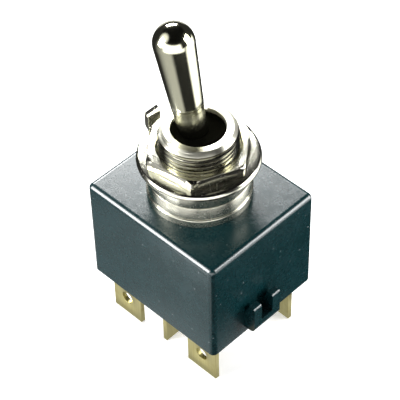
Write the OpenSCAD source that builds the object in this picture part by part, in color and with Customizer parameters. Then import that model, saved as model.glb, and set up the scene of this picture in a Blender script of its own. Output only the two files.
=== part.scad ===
// Two-pole panel toggle switch. The origin is on the bushing's axis, on the shoulder
// that meets the panel. +Z is out of the panel, the lever swings in the XZ plane.

/* [Case] */
// Length of the moulded case, along the lever's swing
case_l = 26; // [24.8:0.1:30]
// Width of the case
case_w = 21.7; // [20.9:0.1:26]
// Height of the case
case_h = 18.85; // [18.8:0.05:19.5]
// Side wall of the case
case_wall = 1.5; // [1.1:0.05:1.5]
// Fillet on the case's upright and upper edges
case_round = 0.85; // [0.4:0.05:1.2]

/* [Bushing] */
// Diameter of the bushing's thread
thread_d = 11.906; // [11.7:0.006:12.3]
// Height of the threaded bushing above the shoulder
thread_h = 6; // [5.9:0.05:7]
// Diameter of the shoulder's lower flange
shoulder_d = 15.88; // [15.6:0.02:17]
// Height of the shoulder
shoulder_h = 6.8; // [6.8:0.05:6.85]
// Width of the keyway
keyway_w = 1.8; // [1.2:0.1:2.4]

/* [Panel hardware] */
// Outer diameter of the locking ring
ring_d = 18.4; // [17:0.1:22]
// Thickness of the locking ring
ring_t = 0.82; // [0.6:0.01:1]
// Height of the ring's bent-up tab above the shoulder
tab_h = 3.16; // [1.6:0.02:5]
// Hex nut across flats
nut_af = 14.3; // [14:0.1:16]
// Thickness of the hex nut
nut_t = 1.9; // [1.4:0.1:3]
// Turn of the nut's first corner from +X
nut_turn = 7.6; // [0:0.1:60]

/* [Lever] */
// Lean of the lever at each end of its throw
throw_deg = 12.4; // [12:0.1:12.4]
// Radius of the lever's round tip
tip_r = 3.08; // [2.6:0.02:3.6]
// Distance of the tip's centre from the pivot
tip_s = 20.3; // [17:0.1:26]
// Radius of the lever at the lower end of its long taper
taper_r = 2.43; // [2.3:0.01:2.5]
// Radius of the neck where it enters the seal
neck_r = 1.5; // [1.42:0.02:1.54]

/* [Terminals] */
// Width of each blade
blade_w = 6; // [4.4:0.1:6]
// Thickness of each blade
blade_t = 0.8; // [0.6:0.01:0.84]
// Length of each blade below the case
blade_h = 8.95; // [7:0.05:12]
// Diameter of the eye
eye_d = 2.2; // [1.5:0.1:3]
// Height of the eye's centre above the tip of the blade
eye_h = 3.6; // [3:0.1:5]

/* [Hidden] */
$fn = 72;
case_top = -shoulder_h;
case_bot = case_top - case_h;
roof_z = -9.0;
in_x = case_l/2 - case_wall;
in_y = case_w/2 - case_wall;
spigot_r = 6.25;
lip_z = -10.4;
plate_z = -10.0;
thread_r = thread_d/2;
bore_r = 4.1;
rim_r = 5.15;
pivot_z = -0.6;
pin_r = 0.8;
pole_y = 5.5;
base_top = -23.9;
base_bot = case_bot + 0.2;
end_x = 8.2;
end_y = 8.27;
pad_top = -22.7;
hinge_z = -20.0;
rock_deg = 5;
slot_w = 3.6;

module round_rect(l, w, r) {
  square([l - 2*r, w], center = true);
  square([l, w - 2*r], center = true);
  for (sx = [-1, 1], sy = [-1, 1])
    translate([sx*(l/2 - r), sy*(w/2 - r)]) circle(r = r);
}

module tube(r_out, r_in, h) {
  difference() {
    cylinder(r = r_out, h = h);
    translate([0, 0, -1]) cylinder(r = r_in, h = h + 2);
  }
}

// A thin block from a side profile drawn in X and Z, between two places along Y
module side_block(y0, y1) {
  translate([0, y1, 0]) rotate([90, 0, 0]) linear_extrude(height = y1 - y0) children();
}

// ---- case ----
module case_skin() {
  lx = case_l/2 - case_round;
  ly = case_w/2 - case_round;
  zr = case_top - case_round;
  translate([0, 0, case_bot]) linear_extrude(height = zr - case_bot)
    round_rect(case_l, case_w, case_round);
  translate([-lx, -ly, zr - 1]) cube([2*lx, 2*ly, 1 + case_round]);
  for (s = [-1, 1]) {
    translate([-lx, s*ly, zr]) rotate([0, 90, 0]) cylinder(r = case_round, h = 2*lx);
    translate([s*lx, ly, zr]) rotate([90, 0, 0]) cylinder(r = case_round, h = 2*ly);
    translate([s*lx, ly, zr]) sphere(r = case_round);
    translate([s*lx, -ly, zr]) sphere(r = case_round);
  }
}

// Side profile of one hook: its free top stands off the wall
module hook_profile() {
  polygon([[-0.3, 0.9], [1.1, 0.9], [2.1, 1.9], [2.1, 5.8], [1.6, 6.3], [0.95, 6.3],
    [0, 3.9], [-0.3, 3.9]]);
  translate([1.1, 1.9]) circle(r = 1);
  translate([1.6, 5.8]) circle(r = 0.5);
}

// Two posts joined by a sloping bar at the foot
module hook() {
  translate([case_l/2, 0, case_bot + 0.5]) difference() {
    side_block(-4.15, 1.4) hook_profile();
    side_block(-2.6, -0.18)
      polygon([[0, 2.07], [2.1, 3.0], [3, 3.4], [3, 7], [0, 7]]);
  }
}

module case() {
  color([0.16, 0.27, 0.30]) difference() {
    union() {
      case_skin();
      hook();
      rotate([0, 0, 180]) hook();
    }
    translate([-in_x, -in_y, case_bot - 1]) cube([2*in_x, 2*in_y, roof_z - case_bot + 1]);
    translate([0, 0, roof_z - 1]) cylinder(r = spigot_r + 0.05, h = 4);
  }
}

// ---- base ----
module base() {
  color([0.12, 0.13, 0.14]) difference() {
    union() {
      translate([-in_x + 0.05, -in_y + 0.05, base_bot])
        cube([2*in_x - 0.1, 2*in_y - 0.1, base_top - base_bot]);
      translate([-9, -0.6, base_top - 1]) cube([18, 1.2, 7.7]);
      for (sx = [-1, 1], sy = [-1, 1])
        translate([sx*end_x - 1.9, sy*pole_y - 1.9, base_top - 1]) cube([3.8, 3.8, 1 + pad_top - base_top]);
      for (sy = [-1, 1])
        translate([-1.3, sy*pole_y - 2.4, base_top - 1]) cube([2.6, 4.8, 2.4]);
    }
    for (sx = [-1, 1], sy = [-1, 1]) {
      translate([sx*end_x - slot_w/2 - 0.05, sy*end_y - blade_t/2 - 0.03, base_bot - 1])
        cube([slot_w + 0.1, blade_t + 0.06, 5]);
      translate([sx*end_x, sy*pole_y, pad_top - 0.9]) cylinder(r = 0.73, h = 2);
    }
    for (sy = [-1, 1])
      translate([-blade_t/2 - 0.03, sy*pole_y - slot_w/2 - 0.05, base_bot - 1])
        cube([blade_t + 0.06, slot_w + 0.1, 5]);
  }
}

// ---- bushing ----
module bushing_turning() {
  rotate_extrude() polygon([[bore_r, thread_h], [rim_r, thread_h],
    [thread_r, thread_h - thread_r + rim_r], [thread_r, 0], [7.75, 0],
    [7.75, -2.95], [7.6, -3.0], [7.6, -3.1], [7.75, -3.15],
    [7.75, -shoulder_h + 1.35], [shoulder_d/2, -shoulder_h + 1.35], [shoulder_d/2, -shoulder_h],
    [spigot_r, -shoulder_h], [spigot_r, plate_z], [6.85, plate_z - 0.02], [6.85, lip_z],
    [5.2, lip_z], [bore_r, -4]]);
}

module rim_relief() {
  drop = 0.35;
  intersection() {
    rotate_extrude() polygon([[bore_r - 0.5, thread_h - drop], [rim_r, thread_h - drop],
      [thread_r + 0.3, thread_h - drop - thread_r - 0.3 + rim_r], [thread_r + 0.3, thread_h + 1],
      [bore_r - 0.5, thread_h + 1]]);
    translate([0, 0, 3]) linear_extrude(height = 6) polygon([[0, 0],
      [12*cos(116), 12*sin(116)], [-14, 0], [12*cos(232), 12*sin(232)]]);
  }
}

module bushing() {
  color([0.78, 0.76, 0.70]) difference() {
    bushing_turning();
    rim_relief();
    translate([-thread_r - 1, -keyway_w/2, 0]) cube([1.9, keyway_w, thread_h + 1]);
    for (s = [0, 180]) rotate([0, 0, s]) {
      translate([-pin_r - 0.03, 0, lip_z - 1]) cube([2*pin_r + 0.06, 5.6, pivot_z - lip_z + 1]);
      translate([0, 0, pivot_z]) rotate([-90, 0, 0]) cylinder(r = pin_r + 0.03, h = 5.6);
    }
    translate([0, 0, -shoulder_h - 1]) tube(7.4, 6.6, 1.72);
  }
}

module retainer_plate() {
  color([0.62, 0.62, 0.60]) difference() {
    translate([-9, -8.6, plate_z]) cube([18, 17.2, roof_z - plate_z - 0.02]);
    translate([0, 0, plate_z - 1]) cylinder(r = spigot_r + 0.03, h = 3);
  }
}

module case_seal() {
  color([0.05, 0.05, 0.05]) translate([0, 0, -shoulder_h + 0.36]) rotate_extrude()
    translate([7.0, 0]) circle(r = 0.36);
}

// Rubber in the bushing's mouth, with a slot that the neck swings in
module bushing_seal() {
  color([0.05, 0.05, 0.05]) translate([0, 0, 4.4]) difference() {
    cylinder(r = bore_r - 0.01, h = 1.1);
    for (s = [-1, 1]) translate([s*1.3, 0, -1]) cylinder(r = 1.8, h = 4);
    translate([-1.3, -1.8, -1]) cube([2.6, 3.6, 4]);
  }
}

// ---- panel hardware ----
module locking_ring() {
  tab_in = ring_d/2 - 0.1;
  color([0.80, 0.78, 0.72]) union() {
    tube(ring_d/2, thread_r + 0.1, ring_t);
    translate([-thread_r - 0.6, -keyway_w/2 + 0.1, 0]) cube([1.35, keyway_w - 0.2, ring_t]);
    translate([-tab_in - 0.85, -1.25, 0]) cube([0.85, 2.5, tab_h]);
  }
}

module hex_nut() {
  corner_r = nut_af/2/cos(30);
  color([0.80, 0.78, 0.72]) translate([0, 0, ring_t + 0.02]) difference() {
    intersection() {
      rotate([0, 0, nut_turn]) cylinder(r = corner_r, h = nut_t, $fn = 6);
      rotate_extrude() polygon([[0, 0], [corner_r - 0.45, 0], [corner_r - 0.1, 0.2],
        [corner_r - 0.1, nut_t - 0.3], [corner_r - 0.62, nut_t], [0, nut_t]]);
    }
    translate([0, 0, -1]) cylinder(r = thread_r + 0.03, h = nut_t + 2);
  }
}

// ---- terminals and fixed contacts ----
// An end terminal: blade and neck upright, the top bent inward over its pad
module end_terminal(sx, sy) {
  tip_z = case_bot - blade_h;
  color([0.80, 0.74, 0.50]) mirror([0, sy < 0 ? 1 : 0, 0]) translate([sx*end_x, end_y, 0])
    difference() {
      union() {
        translate([-blade_w/2, -blade_t/2, tip_z]) cube([blade_w, blade_t, base_bot - tip_z]);
        translate([-slot_w/2, -blade_t/2, base_bot - 1])
          cube([slot_w, blade_t, pad_top - base_bot + 1.75]);
        translate([-slot_w/2, 3.9 - end_y, pad_top]) cube([slot_w, end_y - 3.9, 0.75]);
      }
      translate([0, 2, tip_z + eye_h]) rotate([90, 0, 0]) cylinder(r = eye_d/2, h = 4);
      translate([0, pole_y - end_y, pad_top - 1]) cylinder(r = 0.73, h = 3);
    }
}

// A centre terminal: turned a quarter, its rounded top is the rocker's knife edge
module centre_terminal(sy) {
  tip_z = case_bot - blade_h;
  color([0.80, 0.74, 0.50]) translate([0, sy*pole_y, 0]) difference() {
    union() {
      translate([-blade_t/2, -blade_w/2, tip_z]) cube([blade_t, blade_w, base_bot - tip_z]);
      translate([-blade_t/2, -slot_w/2, base_bot - 1])
        cube([blade_t, slot_w, hinge_z - base_bot + 1]);
      translate([0, slot_w/2, hinge_z]) rotate([90, 0, 0]) cylinder(r = blade_t/2, h = slot_w);
    }
    translate([-2, 0, tip_z + eye_h]) rotate([0, 90, 0]) cylinder(r = eye_d/2, h = 4);
  }
}

module fixed_contact(sx, sy) {
  tab_top = pad_top + 0.75;
  color([0.86, 0.86, 0.84]) translate([sx*end_x, sy*pole_y, 0]) union() {
    translate([0, 0, tab_top]) cylinder(r = 1.4, h = 0.64);
    translate([0, 0, pad_top - 0.8]) cylinder(r = 0.7, h = tab_top - pad_top + 0.9);
  }
}

// ---- lever and what turns with it ----
// Leans its children as the lever leans at rest, with their origin at the pivot
module leaned() {
  translate([0, 0, pivot_z]) rotate([0, -throw_deg, 0]) children();
}

module lever() {
  edge_s = 9.85;
  lean = 3.59;
  top_s = tip_s - tip_r*sin(lean);
  color([0.80, 0.78, 0.72]) leaned() difference() {
    union() {
      translate([0, 0, tip_s]) sphere(r = tip_r);
      translate([0, 0, edge_s]) cylinder(r1 = taper_r, r2 = tip_r*cos(lean), h = top_s - edge_s);
      translate([0, 0, 9.1]) cylinder(r1 = taper_r - 0.08, r2 = taper_r - 0.03, h = 0.76);
      translate([0, 0, 6]) cylinder(r1 = neck_r, r2 = taper_r - 0.08, h = 3.11);
      translate([0, 0, -8]) cylinder(r = 1.4, h = 14.1);
    }
    translate([0, 3, 0]) rotate([90, 0, 0]) cylinder(r = pin_r + 0.02, h = 6);
  }
}

module carrier() {
  color([0.10, 0.10, 0.11]) leaned() difference() {
    union() {
      difference() {
        sphere(r = 3.95);
        translate([-5, -5, 2.6]) cube([10, 10, 3]);
      }
      translate([-1.9, -2.4, -11]) cube([3.8, 4.8, 11]);
      translate([-2.1, -7.3, -15.6]) cube([4.2, 14.6, 4.7]);
    }
    translate([0, 0, -8.2]) cylinder(r = 1.42, h = 12);
    translate([0, 5, 0]) rotate([90, 0, 0]) cylinder(r = pin_r + 0.02, h = 10);
    for (s = [-1, 1]) translate([0, s*pole_y, -16]) cylinder(r = 1.35, h = 4.4);
  }
}

module pivot_pin() {
  color([0.70, 0.70, 0.68]) translate([0, 5.5, pivot_z]) rotate([90, 0, 0])
    cylinder(r = pin_r, h = 11);
}

module lever_boot() {
  color([0.05, 0.05, 0.05]) leaned() rotate_extrude() polygon([[1.42, 2.65], [3.05, 2.65],
    [3.0, 3.4], [1.75, 4.8], [1.6, 5.9], [1.42, 5.9]]);
}

// ---- plungers ----
module plunger(sy) {
  nose_r = 1.3;
  nose_d = 17.1;
  color([0.55, 0.14, 0.10]) leaned() translate([0, sy*pole_y, 0]) difference() {
    union() {
      translate([0, 0, -nose_d]) sphere(r = nose_r);
      translate([0, 0, -nose_d]) cylinder(r = nose_r, h = nose_d - 13.4);
    }
    translate([0, 0, -17]) cylinder(r = 0.9, h = 5);
  }
}

// A round wire wound on the plunger's axis, closed at both ends
module plunger_spring(sy) {
  wire_r = 0.15;
  coil_r = 0.65;
  turns = 7;
  per_turn = 12;
  sides = 6;
  steps = turns*per_turn;
  z0 = -16.95 + wire_r;
  rise = 5.3 - 2*wire_r;
  pts = [for (i = [0:steps], k = [0:sides - 1])
    let (a = 360*i/per_turn, b = 360*k/sides, r = coil_r + wire_r*cos(b))
    [r*cos(a), r*sin(a), z0 + rise*i/steps + wire_r*sin(b)]];
  skin = [for (i = [0:steps - 1], k = [0:sides - 1])
    let (n = (k + 1) % sides) [i*sides + k, i*sides + n, (i + 1)*sides + n, (i + 1)*sides + k]];
  color([0.75, 0.75, 0.73]) leaned() translate([0, sy*pole_y, 0]) polyhedron(points = pts,
    faces = concat(skin, [[for (k = [0:sides - 1]) sides - 1 - k]],
      [[for (k = [0:sides - 1]) steps*sides + k]]));
}

// ---- rockers ----
// Puts its children on a pole's knife edge, with the +X end down as at rest
module rocked(sy) {
  translate([0, sy*pole_y, hinge_z]) rotate([0, rock_deg, 0]) children();
}

// Side view of a rocker: a trough that the plunger rolls in, and two flat arms
module rocker_profile() {
  trough_z = 10.8;
  trough_r = 9.9;
  difference() {
    polygon([[-9.6, 0], [-6.4, 0], [-4.0, 0.95], [-2.2, 0.2], [-1, 0.05], [1, 0.05], [2.2, 0.2],
      [4.0, 0.95], [6.4, 0], [9.6, 0], [9.6, 0.8], [6.6, 0.8], [4.2, 1.835], [-4.2, 1.835],
      [-6.6, 0.8], [-9.6, 0.8]]);
    translate([0, trough_z]) circle(r = trough_r);
    circle(r = blade_t/2 + 0.035);
  }
}

module rocker(sy) {
  color([0.80, 0.74, 0.50]) rocked(sy) difference() {
    side_block(-1.9, 1.9) rocker_profile();
    for (s = [-1, 1]) translate([s*end_x, 0, -1]) cylinder(r = 0.63, h = 3);
  }
}

module moving_contact(sx, sy) {
  dome_r = 4;
  color([0.86, 0.86, 0.84]) rocked(sy) translate([sx*end_x, 0, 0]) union() {
    intersection() {
      translate([0, 0, -0.5]) cylinder(r = 1.3, h = 0.5);
      translate([0, 0, dome_r - 0.5]) sphere(r = dome_r);
    }
    translate([0, 0, -0.1]) cylinder(r = 0.6, h = 1.1);
  }
}

case();
base();
bushing();
retainer_plate();
case_seal();
bushing_seal();
locking_ring();
hex_nut();
end_terminal(1, -1);  // terminal_1
centre_terminal(-1);  // terminal_2
end_terminal(-1, -1);  // terminal_3
end_terminal(1, 1);  // terminal_4
centre_terminal(1);  // terminal_5
end_terminal(-1, 1);  // terminal_6
fixed_contact(1, -1);  // fixed_contact_1
fixed_contact(-1, -1);  // fixed_contact_3
fixed_contact(1, 1);  // fixed_contact_4
fixed_contact(-1, 1);  // fixed_contact_6
lever();
carrier();
pivot_pin();
lever_boot();
plunger(-1);  // plunger_a
plunger(1);  // plunger_b
plunger_spring(-1);  // plunger_spring_a
plunger_spring(1);  // plunger_spring_b
rocker(-1);  // rocker_a
rocker(1);  // rocker_b
moving_contact(1, -1);  // moving_contact_1
moving_contact(-1, -1);  // moving_contact_3
moving_contact(1, 1);  // moving_contact_4
moving_contact(-1, 1);  // moving_contact_6
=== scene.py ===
"""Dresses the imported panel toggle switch: thread, stamped hardware, seal, blades and finishes.

Lengths are in millimetres, except where a docstring says metres.
"""

import logging
import math
from dataclasses import dataclass, field
from enum import Enum
from typing import Any, Iterable, Sequence

import bmesh
import bpy
from mathutils import Matrix, Vector


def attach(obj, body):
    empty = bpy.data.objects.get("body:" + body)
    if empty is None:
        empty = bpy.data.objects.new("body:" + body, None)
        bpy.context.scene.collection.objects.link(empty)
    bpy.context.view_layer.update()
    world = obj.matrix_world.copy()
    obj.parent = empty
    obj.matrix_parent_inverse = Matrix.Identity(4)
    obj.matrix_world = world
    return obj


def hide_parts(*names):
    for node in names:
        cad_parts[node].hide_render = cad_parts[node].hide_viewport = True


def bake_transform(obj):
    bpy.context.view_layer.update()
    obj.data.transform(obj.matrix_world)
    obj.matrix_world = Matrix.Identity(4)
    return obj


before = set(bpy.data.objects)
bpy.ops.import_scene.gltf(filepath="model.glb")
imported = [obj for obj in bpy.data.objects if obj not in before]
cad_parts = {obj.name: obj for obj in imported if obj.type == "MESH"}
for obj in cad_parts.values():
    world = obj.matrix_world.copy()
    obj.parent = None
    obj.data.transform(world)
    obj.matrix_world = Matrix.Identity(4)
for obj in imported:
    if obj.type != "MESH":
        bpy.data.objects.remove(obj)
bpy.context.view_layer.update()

MM = 0.001

Point = tuple[float, float, float]
Flat = tuple[float, float]
Span = tuple[float, float]
Rgb = tuple[float, float, float]

WHITE: Rgb = (1.0, 1.0, 1.0)
MERGE_METRES = 1e-7
TINY = 1e-9

log = logging.getLogger("toggle_switch")


# ---------------------------------------------------------------- shader building


class Value:
    """A number socket that takes part in Python arithmetic by adding Math nodes."""

    def __init__(self, graph: "Graph", socket: bpy.types.NodeSocket) -> None:
        """Wraps a number socket.

        Args:
            graph: the graph that new Math nodes go into.
            socket: the output socket that carries the number.
        """
        self.graph = graph
        self.socket = socket

    def _math(self, operation: str, *operands: "float | Value") -> "Value":
        """Adds one Math node.

        Args:
            operation: the Math node's operation.
            operands: its inputs, in order.

        Returns:
            The node's result.
        """
        return self.graph.node(
            "ShaderNodeMath", {"operation": operation}, dict(enumerate(operands))
        ).value("Value")

    def __add__(self, other: "float | Value") -> "Value":
        """self + other."""
        return self._math("ADD", self, other)

    def __radd__(self, other: "float | Value") -> "Value":
        """other + self."""
        return self._math("ADD", other, self)

    def __sub__(self, other: "float | Value") -> "Value":
        """self - other."""
        return self._math("SUBTRACT", self, other)

    def __rsub__(self, other: "float | Value") -> "Value":
        """other - self."""
        return self._math("SUBTRACT", other, self)

    def __mul__(self, other: "float | Value") -> "Value":
        """self * other."""
        return self._math("MULTIPLY", self, other)

    def __rmul__(self, other: "float | Value") -> "Value":
        """other * self."""
        return self._math("MULTIPLY", other, self)

    def wave(self) -> "Value":
        """Sine of the value, in radians."""
        return self._math("SINE", self)

    def ramp(self, low: float, high: float) -> "Value":
        """Turns the value into a smooth mask.

        Args:
            low: where the mask is 0.
            high: where the mask is 1.

        Returns:
            The mask.
        """
        return self.graph.node(
            "ShaderNodeMapRange",
            {"interpolation_type": "SMOOTHSTEP"},
            {"Value": self, "From Min": low, "From Max": high},
        ).value("Result")


class Tint:
    """A colour or vector socket, which goes through Mix and Vector Math nodes."""

    def __init__(self, graph: "Graph", socket: bpy.types.NodeSocket) -> None:
        """Wraps a colour or vector socket.

        Args:
            graph: the graph that new nodes go into.
            socket: the output socket that carries the colour or vector.
        """
        self.graph = graph
        self.socket = socket

    def toward(self, other: "Tint | Rgb", share: "float | Value") -> "Tint":
        """Mixes this colour with another.

        Args:
            other: the colour at a share of 1.
            share: how much of the other colour there is.

        Returns:
            The mixed colour.
        """
        return self.graph.mix(self, other, share)

    def _vector(self, operation: str, *others: "Point | Tint") -> "Made":
        """Adds one Vector Math node, with this vector as its first input.

        Args:
            operation: the node's operation.
            others: its further inputs, in order.

        Returns:
            The node.
        """
        return self.graph.node(
            "ShaderNodeVectorMath", {"operation": operation}, dict(enumerate((self, *others)))
        )

    def scaled(self, factors: "Point | Tint") -> "Tint":
        """The vector, multiplied part by part."""
        return self._vector("MULTIPLY", factors).tint("Vector")

    def along(self, direction: "Point | Tint") -> Value:
        """The vector's reach along a direction."""
        return self._vector("DOT_PRODUCT", direction).value("Value")

    def length(self) -> Value:
        """The vector's length."""
        return self._vector("LENGTH").value("Value")

    def unit(self) -> "Tint":
        """The vector at a length of 1."""
        return self._vector("NORMALIZE").tint("Vector")

    def parts(self) -> tuple[Value, Value, Value]:
        """The vector's X, Y and Z."""
        split = self.graph.node("ShaderNodeSeparateXYZ", {}, {"Vector": self})
        return split.value("X"), split.value("Y"), split.value("Z")


class Made:
    """A node that has been added, and the way to its outputs."""

    def __init__(self, graph: "Graph", node: bpy.types.Node) -> None:
        """Keeps the node.

        Args:
            graph: the graph that holds the node.
            node: the Blender node.
        """
        self.graph = graph
        self.made = node

    def value(self, name: str) -> Value:
        """The named output as a number."""
        return Value(self.graph, self.made.outputs[name])

    def tint(self, name: str | int) -> Tint:
        """The named output as a colour or vector."""
        return Tint(self.graph, self.made.outputs[name])


class Graph:
    """One material's or world's nodes."""

    def __init__(self, tree: bpy.types.NodeTree) -> None:
        """Clears the tree for new nodes.

        Args:
            tree: the node tree to fill.
        """
        self.tree = tree
        tree.nodes.clear()

    def node(
        self, kind: str, settings: dict[str, Any], inputs: dict[str | int, Any]
    ) -> Made:
        """Adds a node, sets it up and joins its sockets.

        Args:
            kind: the node's Blender type.
            settings: its properties, which are set first.
            inputs: socket names or places, with a constant, a Value, a Tint or a shader.

        Returns:
            The node that was added.
        """
        node = self.tree.nodes.new(kind)
        for name, setting in settings.items():
            setattr(node, name, setting)
        for name, given in inputs.items():
            socket = node.inputs[name]
            if isinstance(given, (Value, Tint)):
                self.tree.links.new(given.socket, socket)
            elif isinstance(given, Made):
                self.tree.links.new(given.made.outputs[0], socket)
            elif isinstance(given, tuple) and socket.type == "RGBA":
                socket.default_value = (*given, 1.0)
            else:
                socket.default_value = given
        return Made(self, node)

    def mix(self, low: "Tint | Rgb", high: "Tint | Rgb", share: "float | Value") -> Tint:
        """Mixes two colours; the Mix node's colour sockets are its 7th and 8th.

        Args:
            low: the colour at a share of 0.
            high: the colour at a share of 1.
            share: the share of the second colour.

        Returns:
            The mixed colour.
        """
        made = self.node(
            "ShaderNodeMix", {"data_type": "RGBA"}, {0: share, 6: low, 7: high}
        )
        return made.tint(2)

    def either(self, share: "float | Value", first: Made, second: Made) -> Made:
        """Two shaders mixed, with the second one whole at a share of 1."""
        return self.node("ShaderNodeMixShader", {}, {0: share, 1: first, 2: second})

    def place(self) -> Tint:
        """The place on the object, in metres."""
        return self.node("ShaderNodeTexCoord", {}, {}).tint("Object")

    def noise(self, where: Tint, scale: float, detail: float = 3.0, rough: float = 0.5) -> Value:
        """Smooth noise around 0.5.

        Args:
            where: the place that it is looked up at.
            scale: how many cells to a metre.
            detail: how many finer layers.
            rough: how strong the finer layers are.

        Returns:
            The noise.
        """
        return self.node(
            "ShaderNodeTexNoise",
            {},
            {"Vector": where, "Scale": scale, "Detail": detail, "Roughness": rough},
        ).value("Fac")

    def specks(self, where: Tint, scale: float, size: float) -> Value:
        """A mask of small round specks.

        Args:
            where: the place that it is looked up at.
            scale: how many cells to a metre.
            size: a speck's radius, as a share of a cell.

        Returns:
            1 inside a speck and 0 outside.
        """
        spread = self.node(
            "ShaderNodeTexVoronoi", {}, {"Vector": where, "Scale": scale, "Randomness": 1.0}
        ).value("Distance")
        return 1.0 - spread.ramp(size * 0.5, size)

    def bump(self, height: Value, depth: float) -> Tint:
        """A normal from a height.

        Args:
            height: the height, of about 0 to 1.
            depth: how deep a height of 1 is, in millimetres.

        Returns:
            The normal.
        """
        return self.node(
            "ShaderNodeBump", {}, {"Height": height, "Strength": 1.0, "Distance": depth * MM}
        ).tint("Normal")


# ---------------------------------------------------------------- finishes


@dataclass(frozen=True)
class Finish:
    """A surface finish; each kind says how its nodes are laid out."""

    name: str
    slot: str
    tone: Rgb

    def material(self) -> bpy.types.Material:
        """Makes the finish's material, or finds it where it is made already.

        Returns:
            The material.
        """
        made = bpy.data.materials.get(self.name)
        if made is None:
            made = bpy.data.materials.new(self.name)
            made.use_nodes = True
            graph = Graph(made.node_tree)
            surface = graph.node("ShaderNodeBsdfPrincipled", {}, self.sockets(graph))
            graph.node("ShaderNodeOutputMaterial", {}, {"Surface": surface})
        return made

    def sockets(self, graph: Graph) -> dict[str, Any]:
        """Lays out what goes into the principled shader.

        Args:
            graph: the material's graph.

        Returns:
            The principled shader's sockets, each with a constant or a link.
        """
        raise NotImplementedError


@dataclass(frozen=True)
class Nickel(Finish):
    """Polished nickel plate over turned or stamped metal.

    rough is the plate's own roughness. Added to it are satin in its clouds, hazed in its fine
    scratches, pitted in its pits, wear above worn_from and matt below matt_below. turned and
    scratch are the heights of the lathe rings and of the scratches, and grooved is how far the
    shine is drawn out along them. root_shade_tone is painted shade, laid into the colour inside
    root_shade_r, which takes in the roots of a thread and the bore: it fades out over
    root_shade_fade from root_shade_r outwards, and in and out over the heights root_shade_low
    and root_shade_top.
    """

    dull: Rgb = (0.42, 0.41, 0.30)
    dulled: float = 0.45
    rough: float = 0.16
    turned: float = 0.0
    scratch: float = 0.004
    hazed: float = 0.05
    grooved: float = 0.0
    worn_from: float = 900.0
    wear: float = 0.2
    satin: float = 0.1
    pitted: float = 0.0
    matt: float = 0.0
    matt_below: float = 0.0
    fade: float = 0.3
    # Painted shade: a dark tone laid into the thread's roots and the bore, where shade falls.
    root_shade_tone: Rgb = (0.05, 0.045, 0.028)
    root_shade_share: float = 0.9
    root_shade_r: float = 0.0
    root_shade_fade: float = 0.27
    root_shade_low: Span = (0.1, 0.3)
    root_shade_top: Span = (5.1, 5.3)
    cloud_scale: float = 260.0
    scratch_scale: float = 5200.0
    ring_rates: Flat = (31000.0, 13700.0)
    pit_scale: float = 2400.0
    pit_size: float = 0.17
    pit_patches: float = 700.0

    def shade_roots(self, plate: Tint, place: Tint, height: Value) -> Tint:
        """Paints shade into the roots of the thread and down the bore.

        Args:
            plate: the plate's colour without the painted shade.
            place: the place on the object, in metres.
            height: its height, in metres.

        Returns:
            The plate's colour with the painted shade.
        """
        # Painted shade: the colour darkens inside the root radius, between the low and top
        # heights.
        if self.root_shade_r <= 0.0:
            return plate
        radius = place.scaled((1.0, 1.0, 0.0)).length()
        share = (
            (1.0 - radius.ramp(self.root_shade_r * MM, (self.root_shade_r + self.root_shade_fade) * MM))
            * height.ramp(*(z * MM for z in self.root_shade_low))
            * (1.0 - height.ramp(*(z * MM for z in self.root_shade_top)))
        )
        return plate.toward(self.root_shade_tone, share * self.root_shade_share)

    def sockets(self, graph: Graph) -> dict[str, Any]:
        """Plate with faint clouding, fine scratches and, where turned, lathe rings.

        Args:
            graph: the material's graph.

        Returns:
            The principled shader's sockets, each with a constant or a link.
        """
        place = graph.place()
        cloud = graph.noise(place, self.cloud_scale, 4.0, 0.6)
        fine = graph.noise(place.scaled((1.0, 1.0, 0.12)), self.scratch_scale, 2.0)
        _, _, height = place.parts()
        close, wide = self.ring_rates
        rings = (height * close).wave() * 0.5 + (height * wide).wave() * 0.5
        patches = graph.noise(place, self.pit_patches).ramp(0.42, 0.6)
        pits = graph.specks(place, self.pit_scale, self.pit_size) * patches
        plate = graph.mix(self.tone, self.dull, cloud.ramp(0.52, 0.86) * self.dulled)
        worn = height.ramp(self.worn_from * MM, (self.worn_from + self.fade) * MM)
        sunk = 1.0 - height.ramp((self.matt_below - self.fade) * MM, self.matt_below * MM)
        return {
            # The base colour carries painted shade in the thread's roots and the bore.
            "Base Color": self.shade_roots(plate, place, height),
            "Metallic": 1.0,
            "Roughness": self.rough
            + (cloud - 0.5) * self.satin
            + (fine - 0.5) * self.hazed
            + pits * self.pitted
            + worn * self.wear
            + sunk * self.matt,
            "Anisotropic": self.grooved,
            "Anisotropic Rotation": 0.25,
            "Normal": graph.bump(fine * self.scratch + rings * self.turned, 1.0),
        }


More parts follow.
